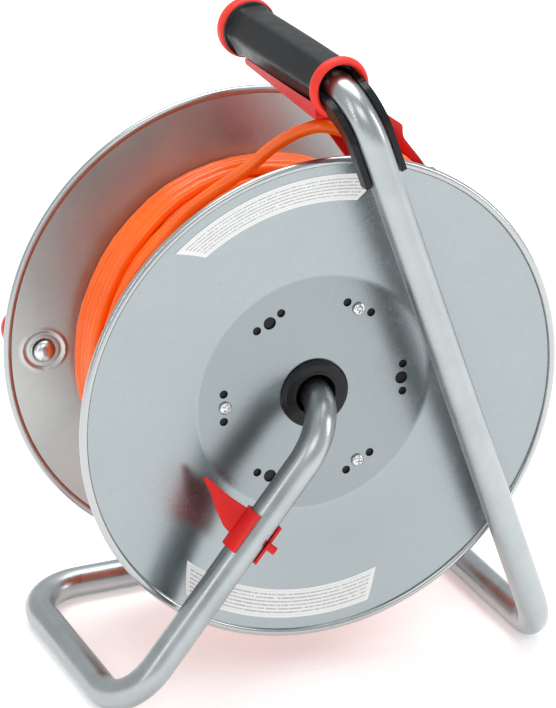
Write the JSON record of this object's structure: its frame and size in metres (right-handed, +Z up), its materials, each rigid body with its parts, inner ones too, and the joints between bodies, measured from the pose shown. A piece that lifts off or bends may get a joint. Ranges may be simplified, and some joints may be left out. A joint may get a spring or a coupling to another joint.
{
  "type": "extension cord reel",
  "caption": "Steel cable drum with an orange lead on a bent tube stand, with a grip, cable guide, brake clip, crank knob and sockets on the far face.",
  "frame": {"origin": "on the floor, midway between the drum's rims and under its axle", "axes": "+Z up, +Y along the axle from the bare rear disc to the socket side, +X to the right as seen from the bare rear disc"},
  "size_m": [0.29, 0.1983, 0.3732],
  "materials": {
    "zinc_tube": "bright zinc plated",
    "zinc_sheet": "galvanised, soft sheen",
    "steel": "zinc plated",
    "brass": "plain",
    "black_plastic": "satin moulded",
    "black_rubber": "satin",
    "red_plastic": "satin moulded",
    "grey_plastic": "matt moulded",
    "orange_cable": "semi-gloss sheath"
  },
  "bodies": {
    "frame": {"frame_tube": "zinc_tube", "axle_washer": "steel", "axle_clip": "steel", "grip_sleeve": "black_rubber", "grip_front_ring": "red_plastic", "grip_end_collar": "black_plastic", "grip_end_cap": "red_plastic", "grip_saddle": "black_plastic", "cable_guide": "red_plastic", "guide_screw_1": "steel", "guide_screw_2": "steel", "lead_cable": "orange_cable", "plug_neck": "black_rubber", "plug_body": "black_rubber", "plug_pin_1": "steel", "plug_pin_2": "steel"},
    "drum": {"rear_disc": "zinc_sheet", "front_disc": "zinc_sheet", "drum_core": "black_plastic", "rear_bush": "black_plastic", "inner_bush": "black_plastic", "socket_plate": "black_plastic", "rear_screw_1": "steel", "rear_screw_2": "steel", "rear_screw_3": "steel", "plate_screw_1": "steel", "plate_screw_2": "steel", "plate_screw_3": "steel", "socket_well_1": "black_plastic", "socket_well_2": "black_plastic", "socket_well_3": "black_plastic", "socket_contact_a_1": "brass", "socket_contact_a_2": "brass", "socket_contact_a_3": "brass", "socket_contact_b_1": "brass", "socket_contact_b_2": "brass", "socket_contact_b_3": "brass", "earth_strap_1": "brass", "earth_strap_2": "brass", "earth_strap_3": "brass", "lid_pin_1": "steel", "lid_pin_2": "steel", "lid_pin_3": "steel", "lid_spring_1": "steel", "lid_spring_2": "steel", "lid_spring_3": "steel", "cutout_body": "grey_plastic", "terminal_block": "grey_plastic", "core_gland": "black_rubber", "strain_clamp": "grey_plastic", "inner_tail": "orange_cable", "crank_pin": "steel", "crank_washer": "steel", "wound_cable": "orange_cable"},
    "crank_knob": {"crank_knob": "red_plastic"},
    "brake_clip": {"brake_clip": "red_plastic"},
    "lid_1": {"socket_lid_1": "black_plastic"},
    "lid_2": {"socket_lid_2": "black_plastic"},
    "lid_3": {"socket_lid_3": "black_plastic"},
    "reset_button": {"reset_button": "red_plastic"}
  },
  "joints": [
    {"name": "drum_spin", "type": "hinge", "parent": "frame", "child": "drum", "pos_m": [0, 0, 0.17], "axis": [0, 1, 0], "continuous": true},
    {"name": "crank_knob_spin", "type": "hinge", "parent": "drum", "child": "crank_knob", "pos_m": [-0.12196, 0.08, 0.17298], "axis": [0, 1, 0], "continuous": true},
    {"name": "brake_clip_swing", "type": "hinge", "parent": "frame", "child": "brake_clip", "pos_m": [0, -0.084, 0.17], "axis": [-0.6283, 0, -0.778], "range_deg": [-30, 18]},
    {"name": "lid_1_hinge", "type": "hinge", "parent": "drum", "child": "lid_1", "pos_m": [0.0646, 0.0661, 0.17], "axis": [0, 0, -1], "range_deg": [0, 100], "stiffness_Nm_per_rad": 0.01, "springref_deg": -57.3},
    {"name": "lid_2_hinge", "type": "hinge", "parent": "drum", "child": "lid_2", "pos_m": [-0.0323, 0.0661, 0.22595], "axis": [0.866, 0, 0.5], "range_deg": [0, 100], "stiffness_Nm_per_rad": 0.01, "springref_deg": -57.3},
    {"name": "lid_3_hinge", "type": "hinge", "parent": "drum", "child": "lid_3", "pos_m": [-0.0323, 0.0661, 0.11406], "axis": [-0.866, 0, 0.5], "range_deg": [0, 100], "stiffness_Nm_per_rad": 0.01, "springref_deg": -57.3},
    {"name": "reset_button_press", "type": "slide", "parent": "drum", "child": "reset_button", "axis": [0, -1, 0], "range_m": [0, 0.0025], "stiffness_N_per_m": 400, "springref_m": -0.004}
  ]
}
